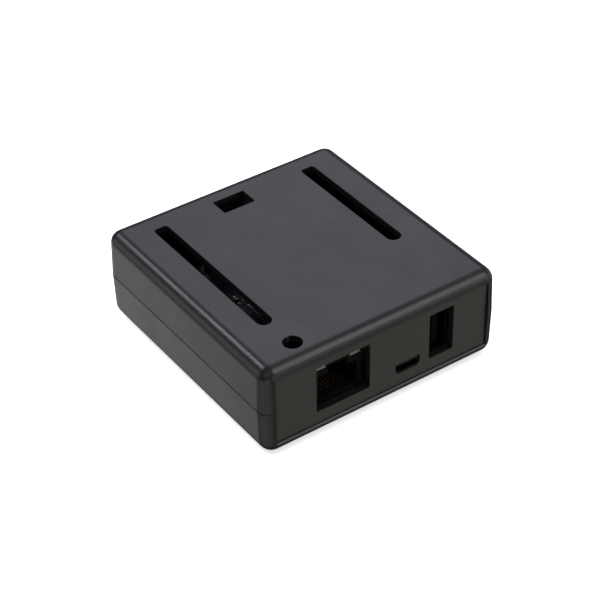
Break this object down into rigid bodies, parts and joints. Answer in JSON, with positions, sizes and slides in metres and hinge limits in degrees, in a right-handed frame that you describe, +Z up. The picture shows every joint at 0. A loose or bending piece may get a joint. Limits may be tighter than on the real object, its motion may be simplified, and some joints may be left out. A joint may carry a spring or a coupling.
{
  "type": "logic analyzer",
  "caption": "Shallow square black instrument case in two halves with a front panel for network and USB sockets, long header slots and a reset hole in its lid, and a populated board inside.",
  "frame": {"origin": "middle of the footprint, at the surface that the rubber feet stand on", "axes": "+X to the right along the connector side, +Y from the connector side to the plain side, +Z up out of the lid"},
  "size_m": [0.0742, 0.0764, 0.028],
  "materials": {
    "case_plastic": "fine satin moulded black",
    "foot_rubber": "matt black rubber",
    "board_laminate": "dark solder mask",
    "screw_steel": "black zinc",
    "connector_plastic": "matt black",
    "light_window": "smoked translucent",
    "contact_gold": "gold flash",
    "dark_metal": "black nickel",
    "tin_metal": "matt tin",
    "button_plastic": "matt black",
    "chip_resin": "matt moulding compound",
    "ferrite": "dark ferrite",
    "can_aluminium": "brushed can",
    "ceramic_tan": "fired ceramic",
    "fuse_green": "green epoxy"
  },
  "bodies": {
    "case": {"bottom_shell": "case_plastic", "front_panel": "case_plastic", "rear_panel": "case_plastic", "rubber_feet": "foot_rubber", "circuit_board": "board_laminate", "board_screws": "screw_steel", "ethernet_jack_housing": "connector_plastic", "ethernet_jack_lights": "light_window", "ethernet_jack_contacts": "contact_gold", "usb_a_shell": "dark_metal", "usb_a_tongue": "connector_plastic", "usb_a_contacts": "contact_gold", "micro_usb_shell": "dark_metal", "micro_usb_tongue": "connector_plastic", "probe_header_10way": "connector_plastic", "probe_header_8way": "connector_plastic", "power_header_8way": "connector_plastic", "trigger_header_6way": "connector_plastic", "header_contacts": "contact_gold", "programming_header_base": "connector_plastic", "programming_header_pins": "contact_gold", "reset_switch_body": "connector_plastic", "reset_switch_cover": "tin_metal", "reset_switch_legs": "tin_metal", "reset_dome": "tin_metal", "logic_array_chip": "chip_resin", "logic_array_leads": "tin_metal", "controller_chip": "chip_resin", "controller_leads": "tin_metal", "sample_memory_chip": "chip_resin", "sample_memory_leads": "tin_metal", "input_buffers": "chip_resin", "input_buffer_leads": "tin_metal", "ethernet_magnetics": "chip_resin", "crystal_can": "tin_metal", "voltage_regulator": "chip_resin", "regulator_tabs": "tin_metal", "power_inductor": "ferrite", "capacitor_bases": "connector_plastic", "electrolytic_capacitors": "can_aluminium", "ceramic_capacitors": "ceramic_tan", "chip_resistors": "chip_resin", "protection_networks": "chip_resin", "status_lights": "light_window", "input_fuse": "fuse_green"},
    "lid": {"top_shell": "case_plastic"},
    "reset_plunger": {"reset_button": "button_plastic"}
  },
  "joints": [
    {"name": "lid_lift", "type": "slide", "parent": "case", "child": "lid", "axis": [0, 0, 1], "range_m": [0, 0.03]},
    {"name": "reset_press", "type": "slide", "parent": "case", "child": "reset_plunger", "axis": [0, 0, -1], "range_m": [0, 0.00025], "stiffness_N_per_m": 5000, "deforming": ["reset_dome"]}
  ]
}
